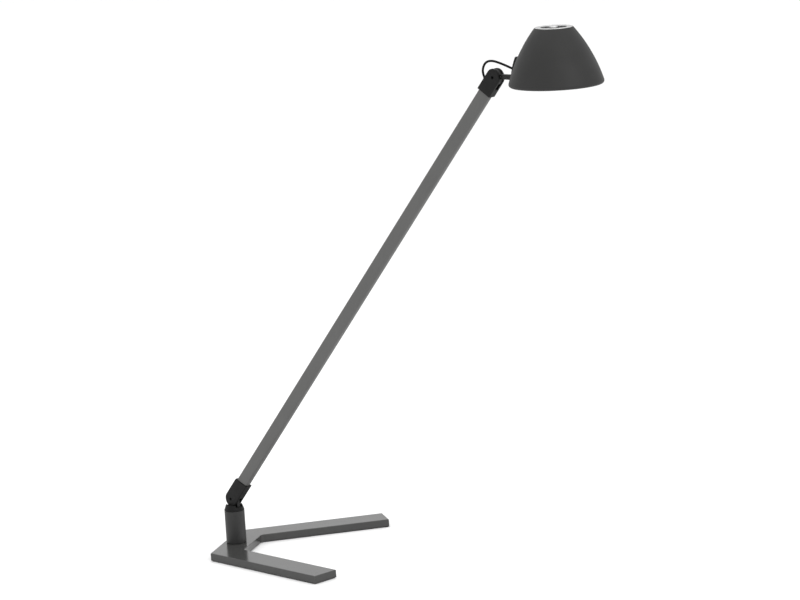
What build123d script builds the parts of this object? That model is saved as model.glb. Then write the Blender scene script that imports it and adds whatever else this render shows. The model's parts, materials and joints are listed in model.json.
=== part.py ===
"""Desk lamp: a steel V base, a short post with a swivel, one long arm between two
friction hinges, and a bell shade with a small LED module inside.

Millimetres, +Z up. The origin is on the post's axis, in the plane that the lamp stands on.
+X is the middle line between the two legs of the base.
"""
import os
from math import asin, cos, degrees, pi, radians, sin, sqrt, tan

from build123d import *

# ---------------------------------------------------------------- driving dimensions
# base plate and pad
leg_angle = 30.0                # each leg from the middle line
leg_width = 35.0
leg_length = 188.0              # outer edge of a leg
plate_thickness = 9.2
plate_back = 16.0               # from the post's axis back to the straight rear edge
plate_back_width = 108.0
notch_depth = 21.0              # from the post's axis forward to the inner edge
inner_corner_radius = 8.0
plate_chamfer = 0.5
pad_thickness = 1.0
pad_inset = 1.5

# post, its threaded tube and its bush
post_diameter = 25.0
post_height = 41.2
post_chamfer = 0.4
bush_seat_radius = 8.0
bush_length = 19.5
bush_flange_margin = 1.2        # inside the post's edge
bush_flange_thickness = 0.6
thread_tube_radius = 5.0
thread_tube_bore = 3.2
thread_depth = 12.0
nut_across_flats = 14.0
nut_thickness = 2.8
washer_radius = 9.0
washer_thickness = 1.0
nut_recess_radius = 10.0

# supply lead inlet at the rear edge
inlet_bore_radius = 1.6
inlet_grommet_radius = 2.8
inlet_flange_radius = 3.6
inlet_flange_thickness = 0.9
inlet_grommet_length = 5.9
inlet_channel_radius = 2.0
inlet_height = 5.8

# swivel
spindle_radius = 5.0
spindle_bore = 1.7
spindle_collar_radius = 8.0
spindle_collar_thickness = 1.0
spindle_tail = 2.6              # below the circlip
circlip_radius = 6.6
circlip_thickness = 1.0
circlip_groove_depth = 0.6
spring_washer_radius = 7.4
spring_washer_thickness = 0.8
cap_height = 6.9
cap_draw_in = 2.3               # its top edge inside its foot
cap_skirt = 0.6
cap_gap = 0.3

# arm
arm_yaw = -30.0                 # at rest, over the right leg
arm_lean = 41.9                 # at rest, from the vertical
arm_length = 737.0              # hinge to hinge
hinge_height = 66.3
arm_width = 17.0
arm_thickness = 7.0
arm_wall = 1.2
arm_edge_radius = 2.2
arm_socket_start = 14.0         # from each hinge to the end of the tube
lead_diameter = 2.6

# knuckles, the forked mouldings at both ends of the arm
knuckle_wall = 1.3              # above and below the arm in its socket
knuckle_thickness = 10.0
knuckle_edge_radius = 0.9
fork_gap = 4.8
fork_depth = 10.6
lower_reach = 31.5
lower_rake = 7.0
upper_reach = 24.0
upper_rake = 4.0
chamber_width = 8.0
fixing_screw_place = 20.0       # from each hinge
fixing_screw_radius = 1.5
fixing_screw_length = 3.3

# hinge hardware
tongue_thickness = 4.0
tongue_margin = 0.8             # inside the knuckle's round end
hinge_screw_radius = 1.5
hinge_head_radius = 2.0
hinge_head_thickness = 1.0
hinge_head_recess = 1.6
hinge_socket_width = 2.0
hinge_nut_width = 5.5
hinge_nut_thickness = 1.4
friction_washer_radius = 6.5

# head: stem and bracket
stem_height = 5.6
stem_rise = 1.0                 # the stem's middle line above the hinge
stem_end = 35.5                 # from the hinge
stem_groove_width = 1.0
stem_groove_depth = 0.4
bracket_half_width = 5.0
bracket_foot = 27.2             # from the hinge, at the bracket's lower end
bracket_bulge = 29.6
bracket_top = 35.5
bracket_low = -2.5
bracket_middle = 11.0
bracket_high = 24.5
bracket_corner_radius = 4.0
bracket_chamfer = 0.9
bracket_cavity_low = 6.6
bracket_cavity_high = 16.6
bracket_cavity_half_width = 3.2
bracket_wall = 2.4
stem_pin_radius = 1.2
stem_pin_place = 32.0
bracket_screw_heights = (3.4, 22.0)
bracket_screw_radius = 1.5
bracket_screw_head_radius = 2.6
bracket_screw_head_thickness = 1.5
bracket_screw_bite = 3.2

# shade
shade_gap = 39.8                # from the upper hinge to the shade's widest edge
shade_drop = 1.6                # its widest level below the upper hinge
shade_rim_radius = 52.1
shade_rim_level = 1.1
shade_curve_radius = 172.0
shade_rim_slope = 16.4
shade_crown_slope = 38.6
shade_wall = 1.2
shade_lip_radius = 3.2
crown_edge = 0.5                # the crown's edge outside the top ring

# top ring and stud
ring_width = 6.5
ring_seat = 3.0                 # its rest on the crown
ring_thickness = 0.8
ring_spigot_depth = 2.2
ring_edge_radius = 0.3
stud_head_radius = 4.4
stud_head_height = 4.4
stud_radius = 2.0
stud_thread_length = 7.0

# LED module
sink_level = 46.0               # underside, above the shade's widest level
sink_thickness = 3.0
fin_count = 12
fin_thickness = 1.2
fin_margin = 0.9                # inside the ring's bore
fin_top = 57.0
pillar_radius = 1.5
pillar_count = 3
module_screw_radius = 0.9
module_screw_head_radius = 1.7
module_screw_head_thickness = 1.4
module_screw_bite = 1.9
board_radius = 12.4
board_thickness = 1.2
chip_size = 2.8
chip_thickness = 0.6
chip_circles = ((4.2, 4), (9.2, 8))     # radius of the ring, chips on it
diffuser_radius = 14.0
diffuser_skirt = 8.0
diffuser_dome = 5.0
diffuser_wall = 1.2
reflector_gap = 6.0
reflector_wall = 0.8
reflector_rim_slope = 17.5
reflector_bore = 14.4

# fits
running_clearance = 0.05        # radial, shaft in its hole
seat_clearance = 0.02           # radial, bush in its seat
fit_clearance = 0.1             # round or flat pieces pushed together
cutter_overrun = 1.0            # how far a cut runs past the face it opens
washer_play = 0.03              # each side of a friction washer

# grommets and the lead loop; points are (forward, up) from the upper hinge
grommet_bore_clearance = 0.05
grommet_neck_radius = 2.0
grommet_flange_radius = 2.8
grommet_flange_thickness = 0.7
grommet_neck_length = 1.4
loop_inside = 1.5               # how far each end goes into its grommet
loop_exit_place = 13.0          # down the arm's upper side from the upper hinge
loop_points = ((-18.8, 1.4), (-19.0, 9.4), (-13.4, 16.6), (-3.5, 18.3), (8.5, 15.9), (19.5, 12.9))
loop_entry_share = 0.44         # along the bracket's outer face, from its foot
bend_share = 0.45               # of the shorter run beside a bend, used up by its round

# ---------------------------------------------------------------- directions and places
up = Vector(0, 0, 1)
forward = Vector(cos(radians(arm_yaw)), sin(radians(arm_yaw)), 0)
side = Vector(sin(radians(arm_yaw)), -cos(radians(arm_yaw)), 0)
along_arm = forward * sin(radians(arm_lean)) + up * cos(radians(arm_lean))

shade_distance = shade_gap + shade_rim_radius
knuckle_radius = arm_width / 2 + knuckle_wall
tongue_radius = knuckle_radius - tongue_margin
bush_flange_radius = post_diameter / 2 - bush_flange_margin
cap_top_radius = post_diameter / 2 - cap_draw_in

plate_low = pad_thickness
plate_top = plate_low + plate_thickness
post_top = plate_top + post_height
lower_hinge = Vector(0, 0, hinge_height)
upper_hinge = lower_hinge + along_arm * arm_length
shade_origin = upper_hinge + forward * shade_distance - up * shade_drop
shade_axis = Axis(shade_origin, up)


def across(pivot, direction, offset=0.0):
    """Plane square to the hinge axis, its X along `direction` and its normal along `side`."""
    return Plane(pivot + side * offset, x_dir=direction, z_dir=side)


def shade_level(height):
    """Level plane at a height above the shade's widest level."""
    return Plane(shade_origin + up * height, x_dir=forward, z_dir=up)


def head_point(pair):
    """Point of the hinge's middle plane, given as (forward, up) from the upper hinge."""
    across_run, rise = tuple(pair)[:2]
    return upper_hinge + forward * across_run + up * rise


# ---------------------------------------------------------------- base
rear_corner = Vector(-plate_back, plate_back_width / 2)
leg_direction = Vector(cos(radians(leg_angle)), sin(radians(leg_angle)))
leg_inward = Vector(sin(radians(leg_angle)), -cos(radians(leg_angle)))
leg_outer_end = rear_corner + leg_direction * leg_length
leg_inner_end = leg_outer_end + leg_inward * leg_width
notch_run = (leg_inner_end.X - notch_depth) / leg_direction.X
notch_corner = leg_inner_end - leg_direction * notch_run


def mirrored(point):
    """The same point on the other leg."""
    return Vector(point.X, -point.Y)


plate_outline = (rear_corner, leg_outer_end, leg_inner_end, notch_corner,
                 mirrored(notch_corner), mirrored(leg_inner_end), mirrored(leg_outer_end),
                 mirrored(rear_corner))

with BuildPart() as base_plate:
    with BuildSketch(Plane.XY.offset(plate_low)):
        with BuildLine():
            Polyline(*plate_outline, close=True)
        make_face()
    extrude(amount=plate_thickness)
    upright_edges = base_plate.edges().filter_by(Axis.Z)
    inner_edges = upright_edges.filter_by_position(Axis.X, plate_back, notch_depth + fit_clearance)
    fillet(inner_edges, inner_corner_radius)
    chamfer(base_plate.faces().sort_by(Axis.Z)[-1].edges(), plate_chamfer)
    with BuildSketch(Plane.XY.offset(plate_low)):
        Circle(thread_tube_radius + fit_clearance)
    extrude(amount=plate_thickness, mode=Mode.SUBTRACT)
    with BuildSketch(Plane.XY.offset(plate_low)):
        Circle(nut_recess_radius)
    extrude(amount=nut_thickness + washer_thickness + fit_clearance, mode=Mode.SUBTRACT)
    with BuildSketch(Plane.YZ.offset(-plate_back)):
        with Locations((0, inlet_height)):
            Circle(inlet_channel_radius)
    extrude(amount=plate_back, mode=Mode.SUBTRACT)
    with BuildSketch(Plane.YZ.offset(-plate_back)):
        with Locations((0, inlet_height)):
            Circle(inlet_grommet_radius + seat_clearance)
    extrude(amount=inlet_grommet_length, mode=Mode.SUBTRACT)

with BuildPart() as base_pad:
    with BuildSketch():
        with BuildLine():
            Polyline(*plate_outline, close=True)
        make_face()
        offset(amount=-pad_inset, kind=Kind.INTERSECTION)
    extrude(amount=pad_thickness)

with BuildPart() as inlet_grommet:
    with BuildSketch(Plane.YZ.offset(-plate_back)):
        with Locations((0, inlet_height)):
            Circle(inlet_grommet_radius)
            Circle(inlet_bore_radius, mode=Mode.SUBTRACT)
    extrude(amount=inlet_grommet_length)
    with BuildSketch(Plane.YZ.offset(-plate_back)):
        with Locations((0, inlet_height)):
            Circle(inlet_flange_radius)
            Circle(inlet_bore_radius, mode=Mode.SUBTRACT)
    extrude(amount=-inlet_flange_thickness)

# ---------------------------------------------------------------- post
nut_low = plate_low + fit_clearance
washer_low = nut_low + nut_thickness
bush_low = post_top - bush_length
thread_top = plate_top + thread_depth

with BuildPart() as post:
    with BuildSketch(Plane.XY.offset(plate_top)):
        Circle(post_diameter / 2)
    extrude(amount=post_height)
    chamfer(post.faces().sort_by(Axis.Z)[-1].edges(), post_chamfer)
    with BuildSketch(Plane.XY.offset(plate_top)):
        Circle(thread_tube_radius + seat_clearance)
    extrude(amount=thread_depth, mode=Mode.SUBTRACT)
    with BuildSketch(Plane.XY.offset(plate_top)):
        Circle(thread_tube_bore)
    extrude(amount=post_height, mode=Mode.SUBTRACT)
    spindle_room = bush_length + spring_washer_thickness + circlip_thickness + spindle_tail
    with BuildSketch(Plane.XY.offset(post_top)):
        Circle(bush_seat_radius + seat_clearance)
    extrude(amount=-spindle_room - fit_clearance, mode=Mode.SUBTRACT)

with BuildPart() as thread_tube:
    with BuildSketch(Plane.XY.offset(nut_low)):
        Circle(thread_tube_radius)
        Circle(thread_tube_bore, mode=Mode.SUBTRACT)
    extrude(amount=thread_top - fit_clearance - nut_low)

with BuildPart() as base_nut:
    with BuildSketch(Plane.XY.offset(nut_low)):
        RegularPolygon(nut_across_flats / 2, 6, major_radius=False)
        Circle(thread_tube_radius + seat_clearance, mode=Mode.SUBTRACT)
    extrude(amount=nut_thickness)

with BuildPart() as base_washer:
    with BuildSketch(Plane.XY.offset(washer_low)):
        Circle(washer_radius)
        Circle(thread_tube_radius + fit_clearance, mode=Mode.SUBTRACT)
    extrude(amount=washer_thickness)

with BuildPart() as post_bush:
    with BuildSketch(Plane.XY.offset(bush_low)):
        Circle(bush_seat_radius)
    extrude(amount=bush_length)
    with BuildSketch(Plane.XY.offset(post_top)):
        Circle(bush_flange_radius)
    extrude(amount=bush_flange_thickness)
    with BuildSketch(Plane.XY.offset(bush_low)):
        Circle(spindle_radius + running_clearance)
    extrude(amount=bush_length + bush_flange_thickness, mode=Mode.SUBTRACT)

# ---------------------------------------------------------------- swivel
collar_low = post_top + bush_flange_thickness
collar_top = collar_low + spindle_collar_thickness
circlip_top = bush_low - spring_washer_thickness
circlip_low = circlip_top - circlip_thickness
spindle_low = circlip_low - spindle_tail
groove_radius = spindle_radius - circlip_groove_depth
cap_low = post_top + cap_gap
slot_floor = hinge_height - knuckle_radius - cap_gap
slot_half_width = knuckle_thickness / 2 + cap_gap

with BuildPart() as swivel_spindle:
    with BuildSketch(Plane.XY.offset(spindle_low)):
        Circle(spindle_radius)
    extrude(amount=collar_low - spindle_low)
    with BuildSketch(Plane.XY.offset(collar_low)):
        Circle(spindle_collar_radius)
    extrude(amount=spindle_collar_thickness)
    with BuildSketch(Plane.XY.offset(circlip_low - washer_play)):
        Circle(spindle_radius)
        Circle(groove_radius, mode=Mode.SUBTRACT)
    extrude(amount=circlip_thickness + 2 * washer_play, mode=Mode.SUBTRACT)
    with BuildSketch(Plane.XY.offset(spindle_low)):
        Circle(spindle_bore)
    extrude(amount=collar_top - spindle_low, mode=Mode.SUBTRACT)
    tongue_run = hinge_height - collar_top
    with BuildSketch(across(lower_hinge, forward)):
        Circle(tongue_radius)
        with Locations((0, -tongue_run / 2)):
            Rectangle(2 * tongue_radius, tongue_run)
    extrude(amount=tongue_thickness / 2, both=True)
    with BuildSketch(across(lower_hinge, forward)):
        Circle(hinge_screw_radius + running_clearance)
    extrude(amount=tongue_thickness, both=True, mode=Mode.SUBTRACT)

with BuildPart() as spindle_circlip:
    with BuildSketch(Plane.XY.offset(circlip_low)):
        Circle(circlip_radius)
        Circle(groove_radius + seat_clearance, mode=Mode.SUBTRACT)
    extrude(amount=circlip_thickness - washer_play)

with BuildPart() as spindle_spring_washer:
    with BuildSketch(Plane.XY.offset(circlip_top)):
        Circle(spring_washer_radius)
        Circle(spindle_radius + fit_clearance, mode=Mode.SUBTRACT)
    extrude(amount=spring_washer_thickness - washer_play)

with BuildPart() as swivel_cap:
    with BuildSketch(Plane.XY.offset(cap_low)):
        Circle(post_diameter / 2)
    extrude(amount=cap_height)
    chamfer(swivel_cap.faces().sort_by(Axis.Z)[-1].edges(),
            length=cap_height - cap_skirt, length2=post_diameter / 2 - cap_top_radius,
            reference=swivel_cap.faces().filter_by(GeomType.CYLINDER)[0])
    with BuildSketch(Plane(Vector(0, 0, slot_floor), x_dir=forward, z_dir=up)):
        Rectangle(post_diameter + cap_height, 2 * slot_half_width)
    extrude(amount=cap_height, mode=Mode.SUBTRACT)
    with BuildSketch(Plane.XY.offset(cap_low)):
        Circle(bush_flange_radius + cap_gap)
    extrude(amount=collar_low - cap_low + cap_gap, mode=Mode.SUBTRACT)
    with BuildSketch(Plane.XY.offset(collar_low)):
        Circle(spindle_collar_radius + seat_clearance)
    extrude(amount=spindle_collar_thickness, mode=Mode.SUBTRACT)
    with BuildSketch(Plane(Vector(0, 0, collar_low), x_dir=forward, z_dir=up)):
        Rectangle(2 * tongue_radius + fit_clearance, tongue_thickness + fit_clearance)
    extrude(amount=cap_height, mode=Mode.SUBTRACT)

# ---------------------------------------------------------------- arm and knuckles
socket_width = arm_width + 2 * fit_clearance
socket_thickness = arm_thickness + 2 * fit_clearance
tube_length = arm_length - 2 * arm_socket_start
inner_radius = arm_edge_radius - arm_wall
upper_side = side.cross(along_arm)
exit_place = upper_hinge - along_arm * loop_exit_place + upper_side * knuckle_radius
exit_direction = (head_point(loop_points[0]) - exit_place).normalized()
bracket_face = ThreePointArc((bracket_foot, bracket_low), (bracket_bulge, bracket_middle),
                             (bracket_top, bracket_high))
entry_place = head_point(bracket_face @ loop_entry_share)
face_tangent = bracket_face % loop_entry_share
face_outward = up * face_tangent.X - forward * face_tangent.Y
entry_direction = (entry_place - head_point(loop_points[-1])).normalized()
lead_hole_radius = lead_diameter / 2 + grommet_bore_clearance


def knuckle(pivot, inward, reach, rake):
    """Fork with a round end about the hinge, and a raked socket for the arm's tube."""
    middle = across(pivot, inward)
    long_side = reach + rake / 2
    short_side = reach - rake / 2
    with BuildPart() as moulding:
        with BuildSketch(middle):
            Circle(knuckle_radius)
            with BuildLine():
                Polyline((0, knuckle_radius), (short_side, knuckle_radius),
                         (long_side, -knuckle_radius), (0, -knuckle_radius), close=True)
            make_face()
        extrude(amount=knuckle_thickness / 2, both=True)
        broad_faces = moulding.faces().filter_by(Axis(pivot, side))
        fillet(broad_faces.edges(), knuckle_edge_radius)
        with BuildSketch(middle):
            with Locations(((fork_depth - knuckle_radius) / 2, 0)):
                Rectangle(fork_depth + knuckle_radius, 2 * (knuckle_radius + cutter_overrun))
        extrude(amount=fork_gap / 2, both=True, mode=Mode.SUBTRACT)
        with BuildSketch(Plane(pivot + inward * arm_socket_start, x_dir=side, z_dir=inward)):
            RectangleRounded(socket_thickness, socket_width, arm_edge_radius)
        extrude(amount=long_side, mode=Mode.SUBTRACT)
        with BuildSketch(Plane(pivot, x_dir=side, z_dir=inward)):
            Rectangle(fork_gap, chamber_width)
        extrude(amount=arm_socket_start, mode=Mode.SUBTRACT)
        with BuildSketch(middle):
            Circle(hinge_screw_radius + running_clearance)
        extrude(amount=knuckle_thickness, both=True, mode=Mode.SUBTRACT)
        with BuildSketch(across(pivot, inward, knuckle_thickness / 2)):
            Circle(hinge_head_radius + fit_clearance)
        extrude(amount=-hinge_head_recess, mode=Mode.SUBTRACT)
        with BuildSketch(across(pivot, inward, -knuckle_thickness / 2)):
            RegularPolygon(hinge_nut_width / 2 + fit_clearance, 6, major_radius=False)
        extrude(amount=hinge_head_recess, mode=Mode.SUBTRACT)
        with BuildSketch(across(pivot + inward * fixing_screw_place, inward, -knuckle_thickness / 2)):
            Circle(fixing_screw_radius + running_clearance)
        extrude(amount=knuckle_thickness / 2, mode=Mode.SUBTRACT)
    return moulding


def hinge_screw(pivot):
    """Low-head screw with a hex socket, sunk in the ear on the `side` side."""
    head_low = knuckle_thickness / 2 - hinge_head_recess
    with BuildPart() as screw:
        with BuildSketch(across(pivot, up, head_low)):
            Circle(hinge_head_radius)
        extrude(amount=hinge_head_thickness)
        with BuildSketch(across(pivot, up, head_low)):
            Circle(hinge_screw_radius)
        extrude(amount=-head_low - knuckle_thickness / 2 + fit_clearance)
        with BuildSketch(across(pivot, up, head_low + hinge_head_thickness)):
            RegularPolygon(hinge_socket_width / 2, 6, major_radius=False)
        extrude(amount=-hinge_head_thickness, mode=Mode.SUBTRACT)
    return screw


def hinge_nut(pivot):
    """Nut held in the hexagon of the other ear."""
    with BuildPart() as nut:
        with BuildSketch(across(pivot, along_arm, hinge_head_recess - knuckle_thickness / 2)):
            RegularPolygon(hinge_nut_width / 2, 6, major_radius=False)
            Circle(hinge_screw_radius + seat_clearance, mode=Mode.SUBTRACT)
        extrude(amount=-hinge_nut_thickness)
    return nut


def friction_washers(pivot):
    """The two washers between the ears and the tongue."""
    thickness = (fork_gap - tongue_thickness) / 2 - 2 * washer_play
    with BuildPart() as washers:
        for direction in (1, -1):
            start = direction * (tongue_thickness / 2 + washer_play)
            with BuildSketch(across(pivot, up, start)):
                Circle(friction_washer_radius)
                Circle(hinge_screw_radius + fit_clearance, mode=Mode.SUBTRACT)
            extrude(amount=direction * thickness)
    return washers


lower_knuckle = knuckle(lower_hinge, along_arm, lower_reach, lower_rake)
lower_hinge_screw = hinge_screw(lower_hinge)
lower_hinge_nut = hinge_nut(lower_hinge)
lower_friction_washers = friction_washers(lower_hinge)
upper_hinge_screw = hinge_screw(upper_hinge)
upper_hinge_nut = hinge_nut(upper_hinge)
upper_friction_washers = friction_washers(upper_hinge)

with BuildPart() as arm_tube:
    with BuildSketch(Plane(lower_hinge + along_arm * arm_socket_start, x_dir=side, z_dir=along_arm)):
        RectangleRounded(arm_thickness, arm_width, arm_edge_radius)
        RectangleRounded(arm_thickness - 2 * arm_wall, arm_width - 2 * arm_wall, inner_radius,
                         mode=Mode.SUBTRACT)
    extrude(amount=tube_length)
    with BuildSketch(Plane(exit_place, z_dir=exit_direction)):
        Circle(grommet_flange_radius)
    extrude(amount=-knuckle_radius, mode=Mode.SUBTRACT)
    for pivot, inward in ((lower_hinge, along_arm), (upper_hinge, -along_arm)):
        with BuildSketch(across(pivot + inward * fixing_screw_place, inward, -knuckle_thickness / 2)):
            Circle(fixing_screw_radius + running_clearance)
        extrude(amount=knuckle_thickness / 2, mode=Mode.SUBTRACT)

with BuildPart() as arm_fixing_screws:
    for pivot, inward in ((lower_hinge, along_arm), (upper_hinge, -along_arm)):
        with BuildSketch(across(pivot + inward * fixing_screw_place, inward, -knuckle_thickness / 2)):
            Circle(fixing_screw_radius)
        extrude(amount=fixing_screw_length)
        with BuildSketch(across(pivot + inward * fixing_screw_place, inward, -knuckle_thickness / 2)):
            RegularPolygon(hinge_socket_width / 2, 6, major_radius=False)
        extrude(amount=hinge_head_thickness, mode=Mode.SUBTRACT)

with BuildPart() as arm_lead:
    with BuildSketch(Plane(lower_hinge + along_arm * arm_socket_start, z_dir=along_arm)):
        Circle(lead_diameter / 2)
    extrude(amount=tube_length)

upper_moulding = knuckle(upper_hinge, -along_arm, upper_reach, upper_rake)
with BuildPart() as upper_knuckle:
    add(upper_moulding.part)
    with BuildSketch(Plane(exit_place, z_dir=upper_side)):
        Circle(grommet_neck_radius + running_clearance)
    extrude(amount=chamber_width / 4 - knuckle_radius, mode=Mode.SUBTRACT)

# ---------------------------------------------------------------- lead loop and its grommets


def grommet(place, outward, bore_direction):
    """Flanged bush pressed in a wall; its bore lies along the lead."""
    with BuildPart() as bush:
        with BuildSketch(Plane(place + outward * fit_clearance, z_dir=outward)):
            Circle(grommet_flange_radius)
        extrude(amount=grommet_flange_thickness)
        with BuildSketch(Plane(place + outward * fit_clearance, z_dir=outward)):
            Circle(grommet_neck_radius)
        extrude(amount=-grommet_neck_length)
        with BuildSketch(Plane(place, z_dir=bore_direction)):
            Circle(lead_hole_radius)
        extrude(amount=2 * grommet_neck_length, both=True, mode=Mode.SUBTRACT)
    return bush


loop_exit_grommet = grommet(exit_place, upper_side, exit_direction)
loop_entry_grommet = grommet(entry_place, face_outward, entry_direction)

loop_start = exit_place - exit_direction * loop_inside
loop_end = entry_place + entry_direction * loop_inside
loop_route = [loop_start] + [head_point(pair) for pair in loop_points] + [loop_end]


def bend_radii(route):
    """For each inner point, the share of the shorter run over the tangent of half the turn."""
    radii = []
    for before, corner, after in zip(route, route[1:], route[2:]):
        arriving = corner - before
        leaving = after - corner
        half_turn = radians(arriving.get_angle(leaving)) / 2
        radii.append(bend_share * min(arriving.length, leaving.length) / tan(half_turn))
    return radii


loop_radii = bend_radii(loop_route)
with BuildPart() as lead_loop:
    with BuildLine() as loop_line:
        FilletPolyline(*loop_route, radius=loop_radii)
    with BuildSketch(Plane(loop_start, z_dir=exit_direction)):
        Circle(lead_diameter / 2)
    sweep()
loop_length = sum(edge.length for edge in loop_line.edges())
loop_section = pi * (lead_diameter / 2) ** 2
print("lead loop: length", round(loop_length, 1), "radii", [round(radius, 1) for radius in loop_radii],
      "volume over section times length", round(lead_loop.part.volume / loop_section / loop_length, 4))

# ---------------------------------------------------------------- shade
curve_centre = (shade_rim_radius - shade_curve_radius * cos(radians(shade_rim_slope)),
                shade_rim_level - shade_curve_radius * sin(radians(shade_rim_slope)))
lip_centre = (shade_rim_radius - shade_lip_radius * cos(radians(shade_rim_slope)),
              shade_rim_level - shade_lip_radius * sin(radians(shade_rim_slope)))
shade_top = curve_centre[1] + shade_curve_radius * sin(radians(shade_crown_slope))
shade_top_radius = curve_centre[0] + shade_curve_radius * cos(radians(shade_crown_slope))
ring_radius = shade_top_radius - crown_edge
ring_bore = ring_radius - ring_width
shade_flange_radius = ring_radius - ring_seat
spigot_radius = shade_flange_radius - fit_clearance
shade_plane = Plane(shade_origin, x_dir=-forward, z_dir=-side)


def curve_slope(radius, level):
    """Angle at which a curve about the shade's curve centre reaches a level."""
    return degrees(asin((level - curve_centre[1]) / radius))


def wall_plane(height, inset):
    """Plane square to the shade's wall on the bracket's side, its normal into the bracket."""
    slope = radians(curve_slope(shade_curve_radius, height + shade_drop))
    outward = up * sin(slope) - forward * cos(slope)
    centre = shade_origin - forward * curve_centre[0] + up * curve_centre[1]
    return Plane(centre + outward * (shade_curve_radius - inset), x_dir=side, z_dir=outward)


inner_crown_slope = curve_slope(shade_curve_radius - shade_wall, shade_top - shade_wall)
with BuildPart() as shade:
    with BuildSketch(shade_plane):
        with BuildLine():
            outer_curve = CenterArc(curve_centre, shade_curve_radius, shade_rim_slope,
                                    shade_crown_slope - shade_rim_slope)
            outer_lip = CenterArc(lip_centre, shade_lip_radius, -90, 90 + shade_rim_slope)
            inner_lip = CenterArc(lip_centre, shade_lip_radius - shade_wall, -90, 90 + shade_rim_slope)
            inner_curve = CenterArc(curve_centre, shade_curve_radius - shade_wall, shade_rim_slope,
                                    inner_crown_slope - shade_rim_slope)
            Line(outer_lip @ 0, inner_lip @ 0)
            Polyline(outer_curve @ 1, (shade_flange_radius, shade_top),
                     (shade_flange_radius, shade_top - shade_wall), inner_curve @ 1)
        make_face()
    revolve(axis=shade_axis)
    for height in bracket_screw_heights:
        with BuildSketch(wall_plane(height, shade_wall)):
            Circle(bracket_screw_radius + fit_clearance)
        extrude(amount=2 * shade_wall, both=True, mode=Mode.SUBTRACT)
    with BuildSketch(Plane(entry_place, z_dir=forward)):
        Circle(lead_hole_radius + fit_clearance)
    extrude(amount=shade_distance / 4, mode=Mode.SUBTRACT)

with BuildPart() as shade_volume:
    with BuildSketch(shade_plane):
        with BuildLine():
            outside = CenterArc(curve_centre, shade_curve_radius + fit_clearance / 2, 0,
                                shade_crown_slope)
            Polyline(outside @ 1, (0, (outside @ 1).Y), (0, curve_centre[1]), outside @ 0)
        make_face()
    revolve(axis=shade_axis)

bracket_back = shade_distance - shade_top_radius
with BuildPart() as shade_bracket:
    with BuildSketch(across(upper_hinge, forward)):
        with BuildLine():
            add(bracket_face)
            Polyline((bracket_top, bracket_high), (bracket_back, bracket_high),
                     (bracket_back, bracket_low), (bracket_foot, bracket_low))
        make_face()
        top_corner = vertices().group_by(Axis.Z)[-1].sort_by_distance(upper_hinge)[0]
        fillet(top_corner, bracket_corner_radius)
    extrude(amount=bracket_half_width, both=True)
    outer_edges = shade_bracket.edges().filter_by(
        lambda edge: abs(abs((edge.center() - upper_hinge).dot(side)) - bracket_half_width) < fit_clearance
        and (edge.center() - upper_hinge).dot(forward) < bracket_back - fit_clearance)
    chamfer(outer_edges, bracket_chamfer)
    add(shade_volume.part, mode=Mode.SUBTRACT)
    with BuildSketch(across(upper_hinge, forward)):
        cavity_centre = (bracket_cavity_low + bracket_cavity_high) / 2
        with Locations(((bracket_bulge + bracket_wall + bracket_back) / 2, cavity_centre)):
            Rectangle(bracket_back - bracket_bulge - bracket_wall,
                      bracket_cavity_high - bracket_cavity_low)
    extrude(amount=bracket_cavity_half_width, both=True, mode=Mode.SUBTRACT)
    with BuildSketch(across(upper_hinge, forward)):
        with Locations((stem_end / 2, stem_rise)):
            Rectangle(stem_end + 2 * fit_clearance, stem_height + 2 * fit_clearance)
    extrude(amount=tongue_thickness / 2 + fit_clearance, both=True, mode=Mode.SUBTRACT)
    with BuildSketch(across(head_point((stem_pin_place, stem_rise)), forward, -bracket_half_width)):
        Circle(stem_pin_radius + seat_clearance)
    extrude(amount=bracket_half_width + tongue_thickness / 2, mode=Mode.SUBTRACT)
    for height in bracket_screw_heights:
        with BuildSketch(wall_plane(height, 0)):
            Circle(bracket_screw_radius + seat_clearance)
        extrude(amount=bracket_screw_bite, mode=Mode.SUBTRACT)
    with BuildSketch(Plane(entry_place + face_outward * fit_clearance, z_dir=-face_outward)):
        Circle(grommet_neck_radius + running_clearance)
    extrude(amount=2 * bracket_wall, mode=Mode.SUBTRACT)

with BuildPart() as bracket_screws:
    for height in bracket_screw_heights:
        with BuildSketch(wall_plane(height, shade_wall)):
            Circle(bracket_screw_radius)
        extrude(amount=shade_wall + bracket_screw_bite - fit_clearance)
        with BuildSketch(wall_plane(height, shade_wall + fit_clearance)):
            Circle(bracket_screw_head_radius)
        extrude(amount=-bracket_screw_head_thickness)
        with BuildSketch(wall_plane(height, shade_wall + fit_clearance)):
            Circle(bracket_screw_radius)
        extrude(amount=fit_clearance)

with BuildPart() as head_stem:
    with BuildSketch(across(upper_hinge, forward)):
        Circle(tongue_radius)
        with Locations(((stem_end - fit_clearance) / 2, stem_rise)):
            Rectangle(stem_end - fit_clearance, stem_height)
    extrude(amount=tongue_thickness / 2, both=True)
    for direction in (1, -1):
        groove_start = (knuckle_radius + stem_end) / 2
        with BuildSketch(across(head_point((groove_start, stem_rise)), forward,
                                direction * tongue_thickness / 2)):
            Rectangle(stem_end - knuckle_radius, stem_groove_width)
        extrude(amount=-direction * stem_groove_depth, mode=Mode.SUBTRACT)
    with BuildSketch(across(upper_hinge, forward)):
        Circle(hinge_screw_radius + running_clearance)
        with Locations((stem_pin_place, stem_rise)):
            Circle(stem_pin_radius + seat_clearance)
    extrude(amount=tongue_thickness, both=True, mode=Mode.SUBTRACT)

with BuildPart() as stem_pin:
    with BuildSketch(across(head_point((stem_pin_place, stem_rise)), forward, -bracket_half_width)):
        Circle(stem_pin_radius)
    extrude(amount=bracket_half_width + tongue_thickness / 2 - fit_clearance)

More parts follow.
